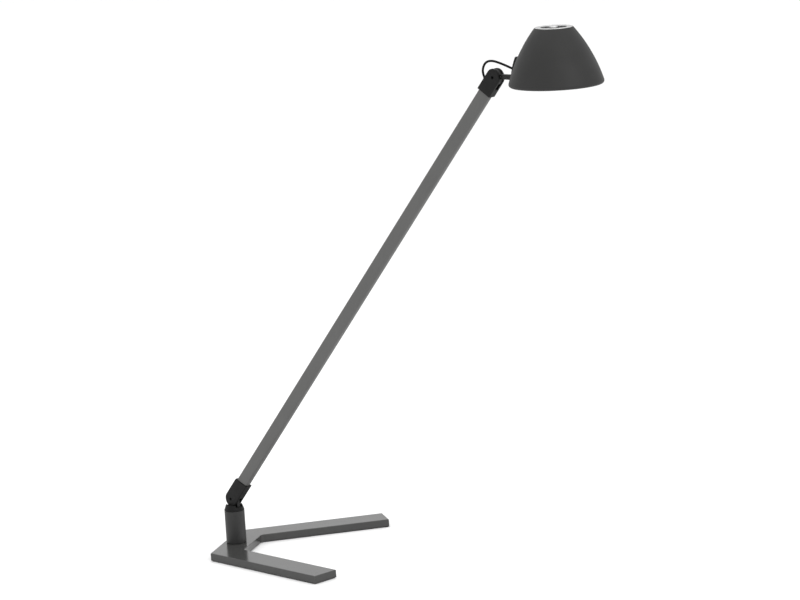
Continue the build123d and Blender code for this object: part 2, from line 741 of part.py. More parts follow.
# ---------------------------------------------------------------- top ring and LED module
pillar_circle = (ring_bore + spigot_radius) / 2
fin_outer_radius = ring_bore - fin_margin
spigot_low = shade_top - ring_spigot_depth
stud_low = fin_top - stud_thread_length
board_low = sink_level - board_thickness
chip_low = board_low - chip_thickness
reflector_low = sink_level - reflector_wall
screw_head_low = reflector_low - module_screw_head_thickness

with BuildPart() as top_ring:
    with BuildSketch(shade_level(shade_top)):
        Circle(ring_radius)
    extrude(amount=ring_thickness)
    fillet(top_ring.faces().sort_by(Axis.Z)[-1].edges(), ring_edge_radius)
    with BuildSketch(shade_level(spigot_low)):
        Circle(spigot_radius)
    extrude(amount=ring_spigot_depth)
    with BuildSketch(shade_level(spigot_low)):
        Circle(ring_bore)
    extrude(amount=ring_spigot_depth + ring_thickness, mode=Mode.SUBTRACT)
    with BuildSketch(shade_level(spigot_low)):
        with PolarLocations(pillar_circle, pillar_count):
            Circle(module_screw_radius + running_clearance)
    extrude(amount=module_screw_bite + fit_clearance, mode=Mode.SUBTRACT)

with BuildPart() as heat_sink:
    with BuildSketch(shade_level(sink_level)):
        Circle(shade_flange_radius)
    extrude(amount=sink_thickness)
    with BuildSketch(shade_level(sink_level + sink_thickness)):
        Circle(stud_head_radius)
        with PolarLocations((stud_radius + fin_outer_radius) / 2, fin_count):
            Rectangle(fin_outer_radius - stud_radius, fin_thickness)
        Circle(stud_radius, mode=Mode.SUBTRACT)
    extrude(amount=fin_top - sink_level - sink_thickness)
    with BuildSketch(shade_level(sink_level + sink_thickness)):
        with PolarLocations(pillar_circle, pillar_count):
            Circle(pillar_radius)
    extrude(amount=spigot_low - sink_level - sink_thickness)
    with BuildSketch(shade_level(sink_level)):
        with PolarLocations(pillar_circle, pillar_count):
            Circle(module_screw_radius + running_clearance)
    extrude(amount=spigot_low - sink_level, mode=Mode.SUBTRACT)
    with BuildSketch(shade_level(stud_low)):
        Circle(stud_radius + seat_clearance)
    extrude(amount=stud_thread_length, mode=Mode.SUBTRACT)

with BuildPart() as top_stud:
    with BuildSketch(shade_level(stud_low)):
        Circle(stud_radius)
    extrude(amount=stud_thread_length)
    with BuildSketch(shade_level(fin_top)):
        Circle(stud_head_radius)
    extrude(amount=stud_head_height)
    fillet(top_stud.faces().sort_by(Axis.Z)[-1].edges(), knuckle_edge_radius)

with BuildPart() as module_screws:
    with BuildSketch(shade_level(screw_head_low)):
        with PolarLocations(pillar_circle, pillar_count):
            Circle(module_screw_head_radius)
    extrude(amount=module_screw_head_thickness)
    with BuildSketch(shade_level(reflector_low)):
        with PolarLocations(pillar_circle, pillar_count):
            Circle(module_screw_radius)
    extrude(amount=spigot_low + module_screw_bite - reflector_low)

with BuildPart() as led_board:
    with BuildSketch(shade_level(board_low)):
        Circle(board_radius)
    extrude(amount=board_thickness)

with BuildPart() as led_chips:
    for circle_radius, chip_count in chip_circles:
        with BuildSketch(shade_level(chip_low)):
            with PolarLocations(circle_radius, chip_count):
                Rectangle(chip_size, chip_size)
        extrude(amount=chip_thickness)


def dome_arc(radius, level, sag):
    """Spherical cap under a level: from its rim at `radius` down to the axis."""
    sphere = (radius ** 2 + sag ** 2) / (2 * sag)
    half_drop = sag - sphere + sqrt(sphere ** 2 - radius ** 2 / 4)
    return ThreePointArc((radius, level), (radius / 2, level - half_drop), (0, level - sag))


with BuildPart() as diffuser:
    with BuildSketch(shade_plane):
        with BuildLine():
            skirt_low = sink_level - diffuser_skirt
            inner_width = diffuser_radius - diffuser_wall
            outer_dome = dome_arc(diffuser_radius, skirt_low, diffuser_dome)
            inner_dome = dome_arc(inner_width, skirt_low, diffuser_dome - diffuser_wall)
            Line(outer_dome @ 1, inner_dome @ 1)
            Polyline(inner_dome @ 0, (inner_width, sink_level), (diffuser_radius, sink_level),
                     outer_dome @ 0)
        make_face()
    revolve(axis=shade_axis)

reflector_curve = shade_curve_radius - reflector_gap
with BuildPart() as reflector:
    with BuildSketch(shade_plane):
        with BuildLine():
            outer_slope = curve_slope(reflector_curve, sink_level)
            inner_slope = curve_slope(reflector_curve - reflector_wall, reflector_low)
            back = CenterArc(curve_centre, reflector_curve, reflector_rim_slope,
                             outer_slope - reflector_rim_slope)
            front = CenterArc(curve_centre, reflector_curve - reflector_wall, reflector_rim_slope,
                              inner_slope - reflector_rim_slope)
            Line(back @ 0, front @ 0)
            Polyline(back @ 1, (reflector_bore, sink_level), (reflector_bore, reflector_low), front @ 1)
        make_face()
    revolve(axis=shade_axis)
    with BuildSketch(shade_level(reflector_low)):
        with PolarLocations(pillar_circle, pillar_count):
            Circle(module_screw_radius + running_clearance)
    extrude(amount=reflector_wall, mode=Mode.SUBTRACT)

# ---------------------------------------------------------------- labels and files
nodes = {
    "base_plate": base_plate, "base_pad": base_pad, "inlet_grommet": inlet_grommet, "post": post,
    "thread_tube": thread_tube, "base_nut": base_nut, "base_washer": base_washer,
    "post_bush": post_bush, "swivel_spindle": swivel_spindle, "spindle_circlip": spindle_circlip,
    "spindle_spring_washer": spindle_spring_washer, "swivel_cap": swivel_cap,
    "lower_knuckle": lower_knuckle, "lower_hinge_screw": lower_hinge_screw,
    "lower_hinge_nut": lower_hinge_nut, "lower_friction_washers": lower_friction_washers,
    "arm_tube": arm_tube, "arm_fixing_screws": arm_fixing_screws, "arm_lead": arm_lead,
    "upper_knuckle": upper_knuckle, "upper_hinge_screw": upper_hinge_screw,
    "upper_hinge_nut": upper_hinge_nut, "upper_friction_washers": upper_friction_washers,
    "loop_exit_grommet": loop_exit_grommet, "lead_loop": lead_loop,
    "loop_entry_grommet": loop_entry_grommet, "head_stem": head_stem, "stem_pin": stem_pin,
    "shade_bracket": shade_bracket, "bracket_screws": bracket_screws, "shade": shade,
    "top_ring": top_ring, "top_stud": top_stud, "heat_sink": heat_sink,
    "module_screws": module_screws, "led_board": led_board, "led_chips": led_chips,
    "diffuser": diffuser, "reflector": reflector,
}
os.makedirs("parts", exist_ok=True)
for name, node in nodes.items():
    node.part.label = name
    export_step(node.part, f"parts/{name}.step")
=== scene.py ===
"""Looks of the desk lamp: its lead loop, its turned and moulded pieces, their finishes, the
floor and the light.

Metres, in the same frame as the solids: the origin is under the post, +Z is up, and +X is
the middle line between the legs of the base.
"""
import json
import math

import bmesh
import bpy
import numpy as np
from mathutils import Matrix, Vector

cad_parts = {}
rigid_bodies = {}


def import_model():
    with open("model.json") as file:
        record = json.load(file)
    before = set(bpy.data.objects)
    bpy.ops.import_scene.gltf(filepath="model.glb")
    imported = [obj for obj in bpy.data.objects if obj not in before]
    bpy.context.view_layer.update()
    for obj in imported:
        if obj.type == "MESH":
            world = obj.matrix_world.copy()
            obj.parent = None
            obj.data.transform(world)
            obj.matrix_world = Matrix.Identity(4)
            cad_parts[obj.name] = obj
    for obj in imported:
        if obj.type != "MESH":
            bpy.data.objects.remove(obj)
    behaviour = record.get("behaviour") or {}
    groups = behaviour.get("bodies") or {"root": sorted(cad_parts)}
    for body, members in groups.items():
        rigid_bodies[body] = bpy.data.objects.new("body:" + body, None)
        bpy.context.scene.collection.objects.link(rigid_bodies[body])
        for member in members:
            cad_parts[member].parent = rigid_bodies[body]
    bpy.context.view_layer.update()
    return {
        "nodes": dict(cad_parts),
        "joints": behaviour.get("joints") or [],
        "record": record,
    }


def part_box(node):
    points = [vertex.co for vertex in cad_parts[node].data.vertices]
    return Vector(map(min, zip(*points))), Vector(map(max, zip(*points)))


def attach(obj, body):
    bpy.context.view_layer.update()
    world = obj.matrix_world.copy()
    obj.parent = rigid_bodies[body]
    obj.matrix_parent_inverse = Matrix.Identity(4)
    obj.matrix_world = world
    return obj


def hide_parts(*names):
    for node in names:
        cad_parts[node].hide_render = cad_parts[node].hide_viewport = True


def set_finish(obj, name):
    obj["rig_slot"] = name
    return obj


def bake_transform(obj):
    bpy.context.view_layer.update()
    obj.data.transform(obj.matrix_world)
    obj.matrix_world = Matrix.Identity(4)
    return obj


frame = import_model()
joints = {joint["name"]: joint for joint in frame["joints"]}
upper_hinge = np.array(joints["head_tilt"]["pos_m"])
lower_hinge = np.array(joints["arm_tilt"]["pos_m"])
up = np.array([0.0, 0.0, 1.0])
toward_side = -np.array(joints["head_tilt"]["axis"]) / np.linalg.norm(joints["head_tilt"]["axis"])
ahead = np.cross(toward_side, up) * -1
along_arm = (upper_hinge - lower_hinge) / np.linalg.norm(upper_hinge - lower_hinge)
shade_low, shade_high = (np.array(corner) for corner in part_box("shade"))
LIP_DEPTH = 0.003                       # the shade's lip below its widest level
shade_centre = (shade_low + shade_high) / 2 * np.array([1, 1, 0]) + up * (shade_low[2] + LIP_DEPTH)

# ---------------------------------------------------------------- camera
CAMERA_PLACE = (1.3213, -3.7755, 1.0571)
CAMERA_HEADING = math.radians(16.12)    # from +Y towards -X
CAMERA_DIP = math.radians(10.68)
CAMERA_ROLL = math.radians(3.42)
CAMERA_LENS = 148.8                     # millimetres, like the film's width
CAMERA_FILM = 36
CAMERA_NEAR = 0.1
CAMERA_FAR = 300


def place_camera():
    """Level right and level ahead from the heading, then a dip about right, then a roll about
    the line of sight."""
    level_right = Vector((math.cos(CAMERA_HEADING), math.sin(CAMERA_HEADING), 0))
    level_ahead = Vector((-math.sin(CAMERA_HEADING), math.cos(CAMERA_HEADING), 0))
    sight = level_ahead * math.cos(CAMERA_DIP) - Vector(up) * math.sin(CAMERA_DIP)
    upright = Vector(up) * math.cos(CAMERA_DIP) + level_ahead * math.sin(CAMERA_DIP)
    right = level_right * math.cos(CAMERA_ROLL) - upright * math.sin(CAMERA_ROLL)
    top = upright * math.cos(CAMERA_ROLL) + level_right * math.sin(CAMERA_ROLL)
    data = bpy.data.cameras.new("camera")
    data.lens = CAMERA_LENS
    data.sensor_width = CAMERA_FILM
    data.clip_start = CAMERA_NEAR
    data.clip_end = CAMERA_FAR
    camera = bpy.data.objects.new("camera", data)
    turn = Matrix((right, top, -sight)).transposed().to_4x4()
    camera.matrix_world = Matrix.Translation(Vector(CAMERA_PLACE)) @ turn
    bpy.context.scene.collection.objects.link(camera)
    bpy.context.scene.camera = camera


place_camera()

# ---------------------------------------------------------------- building pieces
MERGE_REACH = 1e-6
SOFT_CREASE = 30                        # degrees, turned pieces
MOULDED_CREASE = 35
DRAWN_CREASE = 25


def piece(name, points, faces, body, stands_for, finish_slot, crease=SOFT_CREASE):
    """A closed surface from points and faces: doubles merged, faces turned outwards, and only edges sharper
    than `crease` degrees kept sharp."""
    mesh = bpy.data.meshes.new(name)
    mesh.from_pydata(points, [], faces)
    shell = bmesh.new()
    shell.from_mesh(mesh)
    bmesh.ops.remove_doubles(shell, verts=shell.verts, dist=MERGE_REACH)
    bmesh.ops.recalc_face_normals(shell, faces=shell.faces)
    shell.to_mesh(mesh)
    shell.free()
    return settle(mesh, name, body, stands_for, finish_slot, crease)


def settle(mesh, name, body, stands_for, finish_slot, crease):
    """Smooth shading except at creases, then the piece rides on its body in place of its solids."""
    mesh.polygons.foreach_set("use_smooth", np.ones(len(mesh.polygons), bool))
    mesh.set_sharp_from_angle(angle=math.radians(crease))
    made = bpy.data.objects.new(name, mesh)
    bpy.context.scene.collection.objects.link(made)
    if body:
        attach(made, body)
    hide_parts(*stands_for)
    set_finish(made, finish_slot)
    return made


def grid_faces(rows, columns, close_rows, close_columns):
    """Quads between neighbouring points of a rows by columns grid, joined round where a direction
    is closed."""
    row = np.arange(rows if close_rows else rows - 1)
    column = np.arange(columns if close_columns else columns - 1)
    r, c = (a.ravel() for a in np.meshgrid(row, column, indexing="ij"))
    r_next, c_next = (r + 1) % rows, (c + 1) % columns
    corners = [r * columns + c, r_next * columns + c, r_next * columns + c_next, r * columns + c_next]
    return np.stack(corners, axis=1)


def eased(corners, steps=6):
    """Outline with every corner rounded. A corner is (across, up, radius). The round is the curve
    (1-t)^2 start + 2t(1-t) corner + t^2 end, with its ends one radius back along both sides."""
    corners = np.array(corners, float)
    point, radius = corners[:, :2], corners[:, 2:]
    before, after = np.roll(point, 1, axis=0) - point, np.roll(point, -1, axis=0) - point
    start = point + before * radius / np.linalg.norm(before, axis=1, keepdims=True)
    end = point + after * radius / np.linalg.norm(after, axis=1, keepdims=True)
    t = np.linspace(0, 1, steps)[None, :, None]
    rounds = (1 - t) ** 2 * start[:, None] + 2 * t * (1 - t) * point[:, None] + t ** 2 * end[:, None]
    return rounds.reshape(-1, 2)


def arc(centre, radius, first, last, steps):
    """Points centre + radius (cos a, sin a), with a from first to last in degrees."""
    a = np.radians(np.linspace(first, last, steps))
    return np.stack([centre[0] + radius * np.cos(a), centre[1] + radius * np.sin(a)], axis=1)


def turned(name, outline, centre, body, stands_for, finish_slot, segments=192):
    """A closed outline of (r, z) turned about the upright line through centre:
    x = r cos t, y = r sin t, z = z, with t once round."""
    outline = np.asarray(outline, float)
    t = np.linspace(0, 2 * np.pi, segments, endpoint=False)
    x = centre[0] + np.outer(outline[:, 0], np.cos(t))
    y = centre[1] + np.outer(outline[:, 0], np.sin(t))
    z = centre[2] + np.outer(outline[:, 1], np.ones(segments))
    points = np.stack([x, y, z], axis=2).reshape(-1, 3)
    faces = grid_faces(len(outline), segments, True, True)
    return piece(name, points, faces, body, stands_for, finish_slot)


def moulded(name, node, body, finish_slot):
    """A node's own solid with its loose triangles joined, so that its rounds shade smoothly."""
    mesh = frame["nodes"][node].data.copy()
    shell = bmesh.new()
    shell.from_mesh(mesh)
    bmesh.ops.remove_doubles(shell, verts=shell.verts, dist=MERGE_REACH)
    shell.to_mesh(mesh)
    shell.free()
    if mesh.has_custom_normals:
        mesh.attributes.remove(mesh.attributes["custom_normal"])
    mesh.name = name
    return settle(mesh, name, body, [node], finish_slot, MOULDED_CREASE)


# ---------------------------------------------------------------- lead loop
LEAD_RADIUS = 0.0013
LOOP_ROUTE = ((-0.01518, -0.00440), (-0.0188, 0.0014), (-0.0190, 0.0094), (-0.0134, 0.0166),
              (-0.0035, 0.0183), (0.0085, 0.0159), (0.0195, 0.0129), (0.03070, 0.00940))


def loop_line():
    """Points along the smooth curve that the loop's route points pull."""
    route = np.array(LOOP_ROUTE)
    places = upper_hinge + np.outer(route[:, 0], ahead) + np.outer(route[:, 1], up)
    data = bpy.data.curves.new("loop_line", "CURVE")
    data.dimensions = "3D"
    spline = data.splines.new("NURBS")
    spline.points.add(len(places) - 1)
    spline.points.foreach_set("co", np.column_stack([places, np.ones(len(places))]).ravel())
    spline.order_u = 3
    spline.use_endpoint_u = True
    spline.resolution_u = 16
    holder = bpy.data.objects.new("loop_line", data)
    mesh = bpy.data.meshes.new_from_object(holder)
    line = np.zeros(len(mesh.vertices) * 3)
    mesh.vertices.foreach_get("co", line)
    bpy.data.objects.remove(holder)
    bpy.data.meshes.remove(mesh)
    return line.reshape(-1, 3)


def lead_tube(line, radius, around=32):
    """Ring of points line + radius (cos t side + sin t out), where out is square to both the line and side.
    The last ring at each end shrinks to a point, which closes the tube."""
    along = np.gradient(line, axis=0)
    along /= np.linalg.norm(along, axis=1, keepdims=True)
    out = np.cross(along, toward_side)
    t = np.linspace(0, 2 * np.pi, around, endpoint=False)
    reach = np.full(len(line) + 2, radius)
    reach[[0, -1]] = 0
    line, out = line[[0, *range(len(line)), -1]], out[[0, *range(len(out)), -1]]
    ring = np.cos(t)[None, :, None] * toward_side + np.sin(t)[None, :, None] * out[:, None]
    points = (line[:, None] + ring * reach[:, None, None]).reshape(-1, 3)
    return points, grid_faces(len(line), around, False, True)


line = loop_line()
lead = piece("lead_loop_cord", *lead_tube(line, LEAD_RADIUS), None, ["lead_loop"], "lead_sheath")
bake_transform(lead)

# ---------------------------------------------------------------- shade, reflector and diffuser
BELL_CURVE = 0.172
BELL_RIM = (0.0521, 0.0011)
BELL_RIM_SLOPE = 16.4
BELL_CROWN_SLOPE = 38.6
BELL_WALL = 0.0012
BELL_FLANGE = 0.018
LIP_CURVE = 0.0032
CROWN_EASE_SLOPE = 0.1                  # degrees of the bell's curve taken up by the crown's ease
crown_ease = np.array([(0.00014, -0.00018), (0.00006, -0.00005), (-0.0001, 0)])
rim_direction = np.array([math.cos(math.radians(BELL_RIM_SLOPE)), math.sin(math.radians(BELL_RIM_SLOPE))])
bell_middle = np.array(BELL_RIM) - BELL_CURVE * rim_direction
lip_middle = np.array(BELL_RIM) - LIP_CURVE * rim_direction
crown = bell_middle + BELL_CURVE * np.array([math.cos(math.radians(BELL_CROWN_SLOPE)),
                                             math.sin(math.radians(BELL_CROWN_SLOPE))])


def bell_outline():
    """Out over the lip's roll, up the bell's long curve, over the eased crown to the flange, and back
    down inside, one wall thickness in."""
    inner_curve = BELL_CURVE - BELL_WALL
    inner_crown = math.degrees(math.asin((crown[1] - BELL_WALL - bell_middle[1]) / inner_curve))
    return np.concatenate([
        arc(lip_middle, LIP_CURVE, -90, BELL_RIM_SLOPE, 24),
        arc(bell_middle, BELL_CURVE, BELL_RIM_SLOPE, BELL_CROWN_SLOPE - CROWN_EASE_SLOPE, 90)[1:],
        crown + crown_ease,
        [(BELL_FLANGE, crown[1]), (BELL_FLANGE, crown[1] - BELL_WALL)],
        arc(bell_middle, inner_curve, inner_crown, BELL_RIM_SLOPE, 60),
        arc(lip_middle, LIP_CURVE - BELL_WALL, BELL_RIM_SLOPE, -90, 16)[1:]])


turned("shade_bell", bell_outline(), shade_centre, "head", ["shade"], "shade_paint", 256)

REFLECTOR_GAP = 0.006
REFLECTOR_CURVE = BELL_CURVE - REFLECTOR_GAP
REFLECTOR_WALL = 0.0008
REFLECTOR_RIM_SLOPE = 17.5
REFLECTOR_BORE = 0.0144
SINK_LEVEL = 0.046


def reflector_outline():
    """Up the reflector's back, in along its top to the bore, and down its front."""
    def slope(curve, level):
        return math.degrees(math.asin((level - bell_middle[1]) / curve))
    front = REFLECTOR_CURVE - REFLECTOR_WALL
    return np.concatenate([
        arc(bell_middle, REFLECTOR_CURVE, REFLECTOR_RIM_SLOPE, slope(REFLECTOR_CURVE, SINK_LEVEL), 60),
        [(REFLECTOR_BORE, SINK_LEVEL), (REFLECTOR_BORE, SINK_LEVEL - REFLECTOR_WALL)],
        arc(bell_middle, front, slope(front, SINK_LEVEL - REFLECTOR_WALL), REFLECTOR_RIM_SLOPE, 60)])


turned("reflector_cone", reflector_outline(), shade_centre, "head", ["reflector"], "reflector_white")


def dome(radius, level, sag, steps):
    """Part of a ball from the rim (radius, level) down to the axis at level - sag."""
    ball = (radius ** 2 + sag ** 2) / (2 * sag)
    r = radius * np.cos(np.linspace(0, np.pi / 2, steps))
    return np.stack([r, level - sag + ball - np.sqrt(ball ** 2 - r ** 2)], axis=1)


DIFFUSER_RADIUS = 0.014
DIFFUSER_WALL = 0.0012
DIFFUSER_SKIRT = 0.008
DIFFUSER_SAG = 0.005
skirt_level = SINK_LEVEL - DIFFUSER_SKIRT
diffuser_outline = np.concatenate([
    [(DIFFUSER_RADIUS, SINK_LEVEL)],
    dome(DIFFUSER_RADIUS, skirt_level, DIFFUSER_SAG, 24),
    dome(DIFFUSER_RADIUS - DIFFUSER_WALL, skirt_level, DIFFUSER_SAG - DIFFUSER_WALL, 24)[::-1],
    [(DIFFUSER_RADIUS - DIFFUSER_WALL, SINK_LEVEL)]])
turned("diffuser_dome", diffuser_outline, shade_centre, "head", ["diffuser"], "opal_plastic", 96)

# ---------------------------------------------------------------- top ring, stud, post
MACHINED = 0.0001                       # broken edges of turned metal
SHARP = 0.00005
RING_BORE = 0.0145
RING_SPIGOT = 0.0179
RING_UNDERCUT = 0.0200
RING_RADIUS = 0.0210
RING_SPIGOT_DEPTH = 0.0022
RING_UNDERCUT_HEIGHT = 0.0004
RING_HEIGHT = 0.0008
RING_BORE_EASE = 0.00035
ring_low = crown[1]
spigot_low = ring_low - RING_SPIGOT_DEPTH
ring_brim = ring_low + RING_UNDERCUT_HEIGHT
ring_top = ring_low + RING_HEIGHT
turned("top_ring_turned", eased([
    (RING_BORE, spigot_low, MACHINED), (RING_SPIGOT, spigot_low, MACHINED), (RING_SPIGOT, ring_low, SHARP),
    (RING_UNDERCUT, ring_low, SHARP), (RING_UNDERCUT, ring_brim, MACHINED),
    (RING_RADIUS, ring_brim, MACHINED), (RING_RADIUS, ring_top, 2 * MACHINED),
    (RING_BORE, ring_top, RING_BORE_EASE)]),
    shade_centre, "head", ["top_ring"], "bright_ring")

STUD_RADIUS = 0.002
STUD_HEAD_RADIUS = 0.0044
STUD_HEAD_EASE = 0.0009
STUD_HEAD_HEIGHT = 0.0044
FIN_TOP = 0.057                         # above the shade's widest level
stud_top = FIN_TOP + STUD_HEAD_HEIGHT
stud_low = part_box("top_stud")[0][2] - shade_centre[2]
turned("top_stud_turned", eased([
    (0, stud_low, 0), (STUD_RADIUS, stud_low, MACHINED), (STUD_RADIUS, FIN_TOP, MACHINED),
    (STUD_HEAD_RADIUS, FIN_TOP, 2 * MACHINED), (STUD_HEAD_RADIUS, stud_top, STUD_HEAD_EASE),
    (0, stud_top, 0)]),
    shade_centre, "head", ["top_stud"], "bright_ring", 96)

POST_RADIUS = 0.0125
POST_FOOT_RADIUS = 0.0115
POST_FOOT_HEIGHT = 0.0008
POST_EDGE = 0.0005
POST_BORE = 0.0032
BUSH_SEAT = 0.00802
BUSH_SEAT_DEPTH = 0.0242
post_low, post_high = (corner[2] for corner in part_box("post"))
post_foot = post_low + POST_FOOT_HEIGHT
seat_floor = post_high - BUSH_SEAT_DEPTH
turned("post_turned", eased([
    (POST_BORE, post_low, MACHINED), (POST_FOOT_RADIUS, post_low, MACHINED),
    (POST_FOOT_RADIUS, post_foot, MACHINED), (POST_RADIUS, post_foot, 2 * MACHINED),
    (POST_RADIUS, post_high, POST_EDGE), (BUSH_SEAT, post_high, MACHINED),
    (BUSH_SEAT, seat_floor, MACHINED), (POST_BORE, seat_floor, MACHINED)]),
    np.zeros(3), "base", ["post"], "post_paint", 128)

# ---------------------------------------------------------------- arm
ARM_WIDTH = 0.017
ARM_THICKNESS = 0.007
ARM_WALL = 0.0012
ARM_EDGE = 0.0022
ARM_SOCKET = 0.014
arm_upper_side = np.cross(toward_side, along_arm)


def tube_section(width, thickness, edge, steps=8):
    """Rectangle with quarter-round corners, as (across, through) pairs."""
    middles = np.array([(1, 1), (-1, 1), (-1, -1), (1, -1)]) * (width / 2 - edge, thickness / 2 - edge)
    a = np.linspace(0, np.pi / 2, steps)[None, :] + np.arange(4)[:, None] * np.pi / 2
    rounds = middles[:, None] + edge * np.stack([np.cos(a), np.sin(a)], axis=2)
    return rounds.reshape(-1, 2)


def arm_surface():
    """The outer section carried up the arm, then the inner one back down, joined at both ends."""
    outer = tube_section(ARM_WIDTH, ARM_THICKNESS, ARM_EDGE)
    inner = tube_section(ARM_WIDTH - 2 * ARM_WALL, ARM_THICKNESS - 2 * ARM_WALL, ARM_EDGE - ARM_WALL)
    length = np.linalg.norm(upper_hinge - lower_hinge)
    places = np.array([ARM_SOCKET, length - ARM_SOCKET, length - ARM_SOCKET, ARM_SOCKET])
    sections = np.stack([outer, outer, inner, inner])
    points = (lower_hinge + places[:, None, None] * along_arm
              + sections[:, :, :1] * arm_upper_side + sections[:, :, 1:] * toward_side)
    return points.reshape(-1, 3), grid_faces(4, sections.shape[1], True, True)


piece("arm_drawn_tube", *arm_surface(), "arm", ["arm_tube"], "arm_paint", DRAWN_CREASE)

# ---------------------------------------------------------------- moulded and machined pieces
for node, body, finish_slot in (
        ("base_plate", "base", "base_paint"), ("swivel_cap", "swivel", "black_plastic"),
        ("swivel_spindle", "swivel", "stem_steel"),
        ("lower_knuckle", "arm", "black_plastic"), ("upper_knuckle", "arm", "black_plastic"),
        ("lower_hinge_screw", "arm", "black_screw"), ("upper_hinge_screw", "arm", "black_screw"),
        ("loop_exit_grommet", "arm", "black_rubber"), ("loop_entry_grommet", "head", "black_rubber"),
        ("inlet_grommet", "base", "black_rubber"),
        ("head_stem", "head", "stem_steel"), ("shade_bracket", "head", "black_plastic"),
        ("heat_sink", "head", "sink_aluminium")):
    moulded(node + "_smooth", node, body, finish_slot)

# ---------------------------------------------------------------- finishes


class Finish:
    """One finish's nodes. Every pattern is read from the piece's own place in the lamp."""

    def __init__(self, name, metallic=0.0, specular=0.5):
        self.material = bpy.data.materials.new(name)
        self.material.use_nodes = True
        self.tree = self.material.node_tree
        self.shader = self.tree.nodes["Principled BSDF"]
        self.shader.inputs["Metallic"].default_value = metallic
        self.shader.inputs["Specular IOR Level"].default_value = specular
        self.place = self.tree.nodes.new("ShaderNodeTexCoord").outputs["Object"]

    def link(self, source, target):
        self.tree.links.new(source, target)

    def mottle(self, size, detail=4.0, roughness=0.55):
        """Soft cloudy pattern whose patches are `size` metres across."""
        noise = self.tree.nodes.new("ShaderNodeTexNoise")
        noise.inputs["Scale"].default_value = 1 / size
        noise.inputs["Detail"].default_value = detail
        noise.inputs["Roughness"].default_value = roughness
        self.link(self.place, noise.inputs["Vector"])
        return noise.outputs["Fac"]

    def between(self, factor, low, high, from_low=0.3, from_high=0.7):
        """A value that goes from low to high as the pattern goes from from_low to from_high."""
        node = self.tree.nodes.new("ShaderNodeMapRange")
        ends = (("From Min", from_low), ("From Max", from_high), ("To Min", low), ("To Max", high))
        for end, value in ends:
            node.inputs[end].default_value = value
        self.link(factor, node.inputs["Value"])
        return node.outputs["Result"]

    def blended(self, factor, first, second):
        """A colour between two, each a tuple or another pattern's output."""
        node = self.tree.nodes.new("ShaderNodeMix")
        node.data_type = "RGBA"
        self.link(factor, node.inputs[0])
        for socket, colour in ((node.inputs[6], first), (node.inputs[7], second)):
            if isinstance(colour, tuple):
                socket.default_value = (*colour, 1)
            else:
                self.link(colour, socket)
        return node.outputs[2]

    def bumped(self, height, depth, strength, under=None):
        """The normal, or the one under it, tilted by a pattern whose relief is `depth` metres."""
        node = self.tree.nodes.new("ShaderNodeBump")
        node.inputs["Strength"].default_value = strength
        node.inputs["Distance"].default_value = depth
        self.link(height, node.inputs["Height"])
        if under is not None:
            self.link(under, node.inputs["Normal"])
        return node.outputs["Normal"]

    def eased_normal(self, width):
        """The normal, turned gently over every edge within `width` of it."""
        bevel = self.tree.nodes.new("ShaderNodeBevel")
        bevel.samples = 4
        bevel.inputs["Radius"].default_value = width
        return bevel.outputs["Normal"]

    def edges(self, eased_normal, lost=0.985, kept=0.9):
        """1 on edges and 0 on faces, from how far the eased normal is from the true one."""
        true_normal = self.tree.nodes.new("ShaderNodeNewGeometry")
        dot = self.tree.nodes.new("ShaderNodeVectorMath")
        dot.operation = "DOT_PRODUCT"
        self.link(eased_normal, dot.inputs[0])
        self.link(true_normal.outputs["Normal"], dot.inputs[1])
        return self.between(dot.outputs["Value"], 1, 0, kept, lost)

    def times(self, first, second):
        node = self.tree.nodes.new("ShaderNodeMath")
        node.operation = "MULTIPLY"
        self.link(first, node.inputs[0])
        self.link(second, node.inputs[1])
        return node.outputs["Value"]

    def done(self, colour, roughness, normal=None):
        self.link(colour, self.shader.inputs["Base Color"])
        self.link(roughness, self.shader.inputs["Roughness"])
        if normal is not None:
            self.link(normal, self.shader.inputs["Normal"])
        return self.material


def shades_of(colour, spread):
    """A slightly darker and a slightly lighter tone of a colour."""
    return tuple(c * (1 - spread) for c in colour), tuple(c * (1 + spread) for c in colour)


def powder_coat(name, colour, roughness, specular=0.4, wear=(0.16, 0.16, 0.158)):
    """Sprayed coat: faint clouds in its tone and gloss, fine orange peel, and paler rubbed edges."""
    coat = Finish(name, specular=specular)
    clouds = coat.mottle(0.05)
    dark, light = shades_of(colour, 0.06)
    tone = coat.blended(coat.between(clouds, 0, 1), dark, light)
    eased_normal = coat.eased_normal(0.0004)
    rubbed = coat.times(coat.edges(eased_normal), coat.between(coat.mottle(0.006), 0, 0.7))
    tone = coat.blended(rubbed, tone, wear)
    gloss = coat.between(coat.mottle(0.02), roughness - 0.03, roughness + 0.04)
    skin = coat.bumped(coat.mottle(0.0008, detail=1.0), depth=0.00002, strength=0.5, under=eased_normal)
    return coat.done(tone, gloss, skin)


def grained_plastic(name, colour, roughness=0.55, wear=(0.05, 0.05, 0.05)):
    """Moulded plastic with a spark-eroded grain; its edges are painted paler in patches, partly as rubbed
    wear and partly as a painted sheen.
    """
    plastic = Finish(name, specular=0.2)
    dark, light = shades_of(colour, 0.12)
    tone = plastic.blended(plastic.between(plastic.mottle(0.012), 0, 1), dark, light)
    eased_normal = plastic.eased_normal(0.0005)
    rubbed = plastic.times(plastic.edges(eased_normal), plastic.between(plastic.mottle(0.004), 0, 0.6))
    # paler edge patches: rubbed wear, and a painted sheen standing in for the shine of rubbed plastic
    tone = plastic.blended(rubbed, tone, wear)
    gloss = plastic.between(plastic.mottle(0.009), roughness - 0.06, roughness + 0.08)
    grain = plastic.mottle(0.0005, detail=3.0, roughness=0.7)
    skin = plastic.bumped(grain, depth=0.00004, strength=0.7, under=eased_normal)
    return plastic.done(tone, gloss, skin)


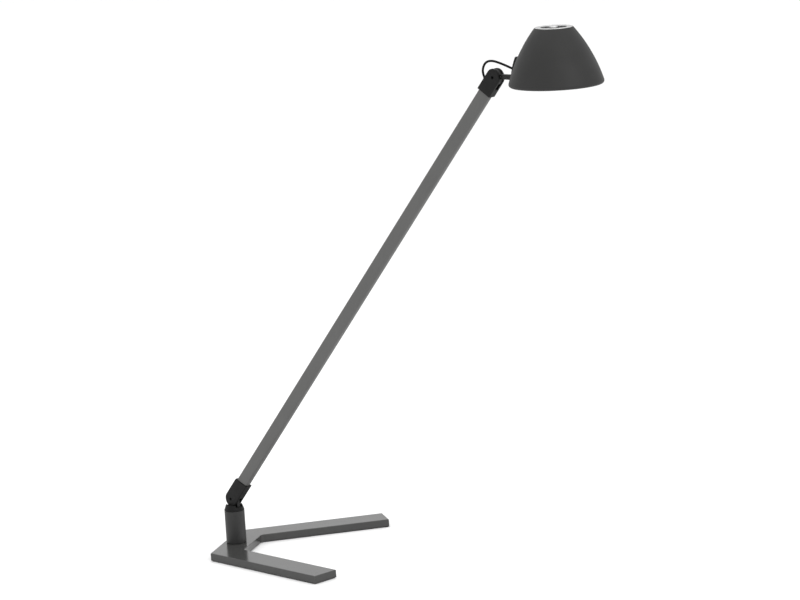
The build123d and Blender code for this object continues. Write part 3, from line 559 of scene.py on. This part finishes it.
def rubber(name, colour, roughness=0.7, specular=0.3):
    """Soft matt rubber or sheath, with dust in its tone and a very fine skin."""
    soft = Finish(name, specular=specular)
    dark, light = shades_of(colour, 0.2)
    tone = soft.blended(soft.between(soft.mottle(0.006), 0, 1), dark, light)
    gloss = soft.between(soft.mottle(0.003), roughness - 0.08, roughness + 0.08)
    skin = soft.bumped(soft.mottle(0.0004, detail=2.0), depth=0.00002, strength=0.5)
    return soft.done(tone, gloss, skin)


def metal(name, colour, roughness, spread=0.07, glance=1.0):
    """Bare or plated metal with a fine working grain; `glance` is its tint seen edge on."""
    bare = Finish(name, metallic=1.0)
    bare.shader.inputs["Specular Tint"].default_value = (glance, glance, glance, 1)
    dark, light = shades_of(colour, spread)
    tone = bare.blended(bare.between(bare.mottle(0.01), 0, 1), dark, light)
    gloss = bare.between(bare.mottle(0.0012), roughness - 0.05, roughness + 0.08)
    grain = bare.bumped(bare.mottle(0.0004, detail=2.0), depth=0.000006, strength=0.6)
    return bare.done(tone, gloss, grain)


def clear_tone(name, colour, roughness):
    """Plain smooth plastic with a barely uneven tone."""
    smooth = Finish(name)
    dark, light = shades_of(colour, 0.03)
    tone = smooth.blended(smooth.between(smooth.mottle(0.008), 0, 1), dark, light)
    gloss = smooth.between(smooth.mottle(0.004), roughness - 0.04, roughness + 0.05)
    skin = smooth.bumped(smooth.mottle(0.0008, detail=1.0), depth=0.000008, strength=0.4)
    return smooth.done(tone, gloss, skin)


finishes = {
    "base_paint": powder_coat("base_satin_paint", (0.045, 0.045, 0.044), 0.16, specular=0.35),
    "post_paint": powder_coat("post_matt_paint", (0.022, 0.022, 0.0218), 0.5),
    "shade_paint": powder_coat("shade_matt_paint", (0.016, 0.016, 0.0157), 0.6, specular=0.35),
    "arm_paint": powder_coat("arm_satin_paint", (0.09, 0.09, 0.088), 0.45, wear=(0.25, 0.25, 0.25)),
    "black_plastic": grained_plastic("moulded_black", (0.004, 0.004, 0.004)),
    "stem_steel": powder_coat("stem_black_paint", (0.007, 0.007, 0.007), 0.4, specular=0.25),
    "black_screw": metal("blackened_screw", (0.012, 0.012, 0.012), 0.4),
    "pad_rubber": rubber("pad_rubber", (0.01, 0.01, 0.01)),
    "black_rubber": rubber("grommet_rubber", (0.01, 0.01, 0.01)),
    "lead_sheath": rubber("lead_sheath", (0.003, 0.003, 0.003), 0.6, specular=0.12),
    "zinc_steel": metal("zinc_plate", (0.5, 0.5, 0.51), 0.35),
    "bright_ring": metal("bright_ring_plate", (0.62, 0.62, 0.62), 0.2, spread=0.12, glance=0.75),
    "sink_aluminium": metal("sink_aluminium", (0.3, 0.3, 0.31), 0.4),
    "bush_plastic": clear_tone("bush_acetal", (0.6, 0.59, 0.56), 0.45),
    "board_white": clear_tone("board_mask", (0.8, 0.8, 0.78), 0.4),
    "led_yellow": clear_tone("chip_phosphor", (0.85, 0.62, 0.08), 0.3),
    "opal_plastic": clear_tone("opal_diffuser", (0.86, 0.86, 0.84), 0.35),
    "reflector_white": clear_tone("reflector_white", (0.82, 0.82, 0.81), 0.45),
}


def dress(thing, material):
    thing.data.materials.clear()
    thing.data.materials.append(material)


for entry in frame["record"]["subparts"]:
    dress(frame["nodes"][entry["node"]], finishes[entry["material_slot"]])
for made in list(bpy.data.objects):
    if made.type == "MESH" and made.get("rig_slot"):
        dress(made, finishes[made["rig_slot"]])

# ---------------------------------------------------------------- floor and light
GROUND_REACH = 60                       # metres each way, so that no edge of it shows
ground_mesh = bpy.data.meshes.new("table_top")
corners = GROUND_REACH * np.array([(-1, -1, 0), (1, -1, 0), (1, 1, 0), (-1, 1, 0)])
ground_mesh.from_pydata(corners, [], [(0, 1, 2, 3)])
ground = bpy.data.objects.new("table_top", ground_mesh)
bpy.context.scene.collection.objects.link(ground)
pale = Finish("pale_top", specular=0.2)
pale_tone = pale.blended(pale.between(pale.mottle(0.3), 0, 1), (0.93, 0.93, 0.93), (0.95, 0.95, 0.95))
pale_gloss = pale.between(pale.mottle(0.1), 0.6, 0.7)
dress(ground, pale.done(pale_tone, pale_gloss))

WORLD_STRENGTH = 1.08
world = bpy.data.worlds.new("studio")
world.use_nodes = True
world.node_tree.nodes["Background"].inputs["Color"].default_value = (1, 1, 1, 1)
world.node_tree.nodes["Background"].inputs["Strength"].default_value = WORLD_STRENGTH
bpy.context.scene.world = world
bpy.context.scene.view_settings.view_transform = "Standard"


def soft_box(name, place, aim, width, power):
    """Square soft light at place that faces aim."""
    data = bpy.data.lights.new(name, "AREA")
    data.shape = "SQUARE"
    data.size = width
    data.energy = power
    lamp = bpy.data.objects.new(name, data)
    place, aim = Vector(place), Vector(aim)
    facing = (aim - place).to_track_quat("-Z", "Y").to_matrix().to_4x4()
    lamp.matrix_world = Matrix.Translation(place) @ facing
    bpy.context.scene.collection.objects.link(lamp)


middle = (0.2, -0.1, 0.3)
soft_box("key", (2.2, -1.6, 1.9), middle, 1.4, 16)
soft_box("top", (0.1, 0.2, 2.6), middle, 1.6, 12)
